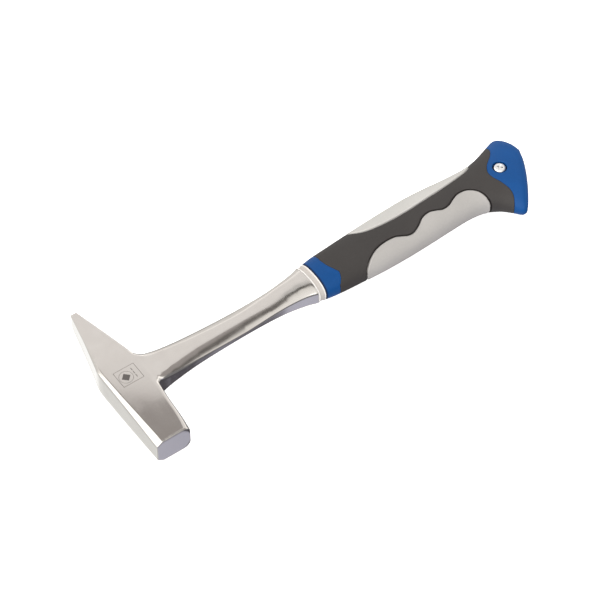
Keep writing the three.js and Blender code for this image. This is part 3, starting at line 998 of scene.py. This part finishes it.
def moulded(name, colour, rough, grain, grain_depth, spread=0.06, shine=0.3):
    """Moulded plastic or rubber: uneven tone, fine surface grain and a slow waviness."""
    g = Graph(name)
    low = tuple(c * (1 - spread) for c in colour)
    high = tuple(c * (1 + spread) for c in colour)
    slow = g.noise(38, 3, 0.5)
    quick = g.noise(grain * 0.5, 3, 0.6)
    colour_a = g.ramp(slow, [(0.3, low), (0.7, high)])
    colour_b = g.ramp(quick, [(0.3, low), (0.7, high)])
    g.link(g.mix(0.4, colour_a, colour_b), g.surface.inputs["Base Color"])
    g.link(g.range(slow, 0.3, 0.7, rough - 0.04, rough + 0.04), g.surface.inputs["Roughness"])
    g.surface.inputs["Specular IOR Level"].default_value = shine
    skin = g.bump(slow, 0.05, 0.0006)
    skin = g.bump(g.noise(grain, 2, 0.6), 0.35, grain_depth, skin)
    g.link(skin, g.surface.inputs["Normal"])
    return g


def with_painted_seam_shade(g, colour):
    """The material, darkened where the mesh says that a seam lies: painted shade along the seams."""
    seam = g.tree.nodes.new("ShaderNodeAttribute")
    seam.attribute_name = "seam"
    g.recolour(seam.outputs["Fac"], colour)
    return g.material


def with_painted_lip_highlights(g):
    """The collar's material, with a painted highlight: its two raised lips lighter than the band
    between them.
    """
    away = g.math("ABSOLUTE", g.math("SUBTRACT", g.axes()["X"], COLLAR_MIDDLE * MM))
    # painted highlight: the lips' colour is lightened
    g.recolour(g.range(away, 1.45 * MM, 1.65 * MM, 0.0, 1.0), (0.74, 0.715, 0.69))
    return g.material


def zinc_plate():
    g = Graph("zinc_plate")
    tone = g.noise(300, 3, 0.6)
    colour = g.ramp(tone, [(0.3, (0.78, 0.78, 0.77)), (0.7, (0.88, 0.88, 0.87))])
    g.link(colour, g.surface.inputs["Base Color"])
    g.surface.inputs["Metallic"].default_value = 1.0
    g.link(g.range(tone, 0.3, 0.7, 0.2, 0.32), g.surface.inputs["Roughness"])
    g.link(g.bump(g.noise(1800, 2, 0.6), 0.1, 0.00004), g.surface.inputs["Normal"])
    return g.material


def give(piece, material):
    piece.data.materials.clear()
    piece.data.materials.append(material)


# -------- light and camera

WORLD_GAIN = 2.0
UPPER_SKY = [
    (-0.6, (2.4, 2.38, 2.34)), (-0.42, (2.2, 2.18, 2.14)), (-0.33, (1.2, 1.18, 1.16)),
    (-0.12, (1.15, 1.13, 1.11)), (0.11, (1.05, 1.03, 1.0)), (0.17, (0.17, 0.158, 0.152)),
    (0.27, (0.17, 0.158, 0.152)), (0.355, (0.44, 0.413, 0.405)), (1.0, (0.44, 0.413, 0.405)),
]
LOWER_SKY = [
    (-1.0, (0.8, 0.805, 0.795)), (-0.4, (0.8, 0.805, 0.795)), (-0.1, (1.22, 1.23, 1.22)),
    (0.1, (1.22, 1.23, 1.22)), (0.3, (0.75, 0.74, 0.72)), (1.0, (0.75, 0.74, 0.72)),
]
FACE_SKY = (0.63, 0.64, 0.77)
UNDER_SKY = (0.1, 0.095, 0.11)
NEAR_SKY = (0.24, 0.24, 0.25)
FLARE_SKY = (0.12, 0.113, 0.108)
RIM_SKY = (1.6, 1.58, 1.55)
BACK_RIM_SKY = (0.95, 0.93, 0.91)
BOX_SIZE = (0.5, 0.8)
BOX_PLACE = (0.226, 0.302, 0.22)
BOX_TURN = 53.13
BOX_POWER = 0.74
FILL_SIZE = (0.5, 0.12)
FILL_PLACE = (0.22, -0.45, 0.09)
FILL_TILT = 80.0
FILL_POWER = 0.8
FLOOR_HALF = 6.0
CAMERA_AZIMUTH = -35.5
CAMERA_ELEVATION = 51.5
CAMERA_DISTANCE = 1.6
CAMERA_TARGET = (0.1221, -0.0067, CHEEK_HALF * MM)
CAMERA_LENS = 152.97


class Sky:
    """World nodes that give every direction its own brightness."""

    def __init__(self, tree):
        self.tree = tree
        self.way = tree.nodes.new("ShaderNodeTexCoord").outputs["Generated"]

    def lean(self, direction):
        """How far the way lies along a direction, from minus one to one."""
        dot = self.tree.nodes.new("ShaderNodeVectorMath")
        dot.operation = "DOT_PRODUCT"
        dot.inputs[1].default_value = direction
        self.tree.links.new(self.way, dot.inputs[0])
        return dot.outputs["Value"]

    def ramp(self, value, stops):
        scale = self.tree.nodes.new("ShaderNodeMapRange")
        scale.inputs["From Min"].default_value = -1.0
        scale.inputs["From Max"].default_value = 1.0
        self.tree.links.new(value, scale.inputs["Value"])
        node = self.tree.nodes.new("ShaderNodeValToRGB")
        node.color_ramp.interpolation = "EASE"
        while len(node.color_ramp.elements) < len(stops):
            node.color_ramp.elements.new(0.5)
        for element, (place, level) in zip(node.color_ramp.elements, stops):
            element.position = (place + 1) / 2
            element.color = (*(c / WORLD_GAIN for c in level), 1)
        self.tree.links.new(scale.outputs["Result"], node.inputs["Fac"])
        return node.outputs["Color"]

    def fade(self, value, low, high):
        """Zero at the low value, one at the high one."""
        scale = self.tree.nodes.new("ShaderNodeMapRange")
        scale.interpolation_type = "SMOOTHSTEP"
        scale.inputs["From Min"].default_value = low
        scale.inputs["From Max"].default_value = high
        self.tree.links.new(value, scale.inputs["Value"])
        return scale.outputs["Result"]

    def both(self, a, b):
        node = self.tree.nodes.new("ShaderNodeMath")
        node.operation = "MULTIPLY"
        self.tree.links.new(a, node.inputs[0])
        self.tree.links.new(b, node.inputs[1])
        return node.outputs["Value"]

    def blend(self, factor, a, b):
        node = self.tree.nodes.new("ShaderNodeMix")
        node.data_type = "RGBA"
        for socket, value in ((node.inputs[0], factor), (node.inputs[6], a), (node.inputs[7], b)):
            if isinstance(value, tuple):
                socket.default_value = (*(c / WORLD_GAIN for c in value), 1)
            else:
                self.tree.links.new(value, socket)
        return node.outputs[2]


def hang_sky():
    """A studio of white cards and dark gaps, seen only as light and in reflections."""
    world = bpy.data.worlds.new("studio")
    bpy.context.scene.world = world
    world.use_nodes = True
    sky = Sky(world.node_tree)
    fade, both, blend = sky.fade, sky.both, sky.blend
    side = sky.lean((0.91, 0.41, 0.0))
    along = sky.lean((1.0, 0.0, 0.0))
    forward = sky.lean((0.0, 1.0, 0.0))
    height = sky.lean((0.0, 0.0, 1.0))

    upper = sky.ramp(side, UPPER_SKY)
    back_rim = both(fade(height, 0.5, 0.3), fade(forward, 0.6, 0.72))
    upper = blend(back_rim, upper, BACK_RIM_SKY)
    rim = both(fade(height, 0.32, 0.18), fade(along, 0.5, 0.65))
    upper = blend(rim, upper, RIM_SKY)
    flare = both(fade(along, 0.185, 0.155), fade(along, 0.0, 0.05))
    flare = both(flare, both(fade(forward, 0.47, 0.42), fade(forward, 0.06, 0.12)))
    upper = blend(both(flare, fade(height, 0.3, 0.5)), upper, FLARE_SKY)

    lower = sky.ramp(along, LOWER_SKY)
    lower = blend(fade(forward, -0.15, -0.4), lower, FACE_SKY)
    under = both(fade(height, -0.22, -0.42), fade(along, 0.29, 0.385))
    lower = blend(under, lower, UNDER_SKY)

    whole = blend(fade(height, -0.14, 0.0), lower, upper)
    near_edge = both(fade(height, 0.42, 0.28), fade(height, -0.5, -0.35))
    whole = blend(both(near_edge, fade(forward, -0.55, -0.75)), whole, NEAR_SKY)
    back = sky.tree.nodes["Background"]
    sky.tree.links.new(whole, back.inputs["Color"])
    back.inputs["Strength"].default_value = WORLD_GAIN


def soft_card(name, size, power, place, turn):
    """A rectangular soft light that the camera does not see."""
    data = bpy.data.lights.new(name, "AREA")
    data.shape = "RECTANGLE"
    data.size, data.size_y = size
    data.energy = power
    card = add_object(name, data)
    card.location = place
    card.rotation_euler = [math.radians(degrees) for degrees in turn]
    card.visible_camera = False
    return card


def lay_floor():
    level = cad_box[0][2] - 0.0002
    mesh = bpy.data.meshes.new("floor")
    corners = [(-1, -1), (1, -1), (1, 1), (-1, 1)]
    mesh.from_pydata([(x * FLOOR_HALF, y * FLOOR_HALF, level) for x, y in corners], [],
                     [(0, 1, 2, 3)])
    floor = add_object("floor", mesh)
    paper = bpy.data.materials.new("studio_paper")
    paper.use_nodes = True
    surface = paper.node_tree.nodes["Principled BSDF"]
    surface.inputs["Base Color"].default_value = (0.9, 0.9, 0.9, 1)
    surface.inputs["Roughness"].default_value = 0.9
    surface.inputs["Specular IOR Level"].default_value = 0.0
    surface.inputs["Emission Color"].default_value = (1, 1, 1, 1)
    surface.inputs["Emission Strength"].default_value = 0.75
    mesh.materials.append(paper)
    floor.visible_glossy = False
    floor.visible_diffuse = False


def set_camera():
    azimuth = math.radians(CAMERA_AZIMUTH)
    elevation = math.radians(CAMERA_ELEVATION)
    back = Vector((math.sin(azimuth) * math.cos(elevation), -math.cos(azimuth) * math.cos(elevation),
                   math.sin(elevation)))
    data = bpy.data.cameras.new("camera")
    data.sensor_width = 36.0
    data.lens = CAMERA_LENS
    data.clip_start = 0.05
    data.clip_end = 30.0
    view = add_object("camera", data)
    view.location = Vector(CAMERA_TARGET) + back * CAMERA_DISTANCE
    view.rotation_euler = back.to_track_quat("Z", "Y").to_euler()
    bpy.context.scene.camera = view


# -------- build

bpy.context.scene.view_settings.view_transform = "Standard"
set_camera()
hang_sky()
soft_card("softbox", BOX_SIZE, BOX_POWER, BOX_PLACE, (0.0, 0.0, BOX_TURN))
fill = soft_card("fill_card", FILL_SIZE, FILL_POWER, FILL_PLACE, (FILL_TILT, 0.0, 0.0))
fill.visible_glossy = False
lay_floor()

steel = forged_steel()
# the collar's lips carry a painted highlight
collar_plastic = with_painted_lip_highlights(moulded("collar_plastic", (0.52, 0.485, 0.45), 0.5, 1400, 0.00004))
# the blue and the dark rubber are darkened along their seams by painted shade
blue_plastic = with_painted_seam_shade(moulded("blue_plastic", (0.006, 0.062, 0.217), 0.42, 1600, 0.00005, 0.1, 0.15),
                      (0.003, 0.02, 0.07))
dark_rubber = with_painted_seam_shade(moulded("dark_grey_rubber", (0.043, 0.039, 0.037), 0.62, 1500, 0.00007, 0.1, 0.25),
                     (0.006, 0.004, 0.004))
light_rubber = moulded("light_grey_rubber", (0.385, 0.369, 0.352), 0.6, 1500, 0.00006).material
palm_rubber = moulded("palm_grey_rubber", (0.51, 0.50, 0.475), 0.6, 1500, 0.00006).material
black_nylon = moulded("black_nylon", (0.02, 0.02, 0.02), 0.55, 1200, 0.00005, 0.15).material
black_rubber = moulded("black_rubber", (0.013, 0.013, 0.013), 0.8, 1500, 0.00008, 0.15).material
zinc = zinc_plate()

section = section_angles(260)
band_end = seam_ring(CHEVRON, section)
cap_start = seam_ring(BUTT_SEAM, section)

give(build_forging(), steel)
give(build_collar(), collar_plastic)
give(build_band(section, band_end), blue_plastic)
give(build_soft_grip(section, band_end, cap_start), dark_rubber)
give(panel("finger_grip_panel", FINGER_SEAM, "finger_panel", 0.12), light_rubber)
give(panel("palm_grip_panel", PALM_SEAM, "palm_panel", 0.16), palm_rubber)
give(build_cap(section, cap_start), blue_plastic)
give(build_screw(1, "cap_screw", "butt_screw"), zinc)
give(build_screw(-1, "cap_nut", "barrel_nut"), zinc)

CARRIED = {
    "front_damping_ring": black_rubber,
    "tang_damping_sleeve": black_rubber,
    "rear_damping_bush": black_rubber,
    "grip_core_upper": black_nylon,
    "grip_core_lower": black_nylon,
    "screw_bushing": zinc,
}
for node, material in CARRIED.items():
    give(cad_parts[node], material)
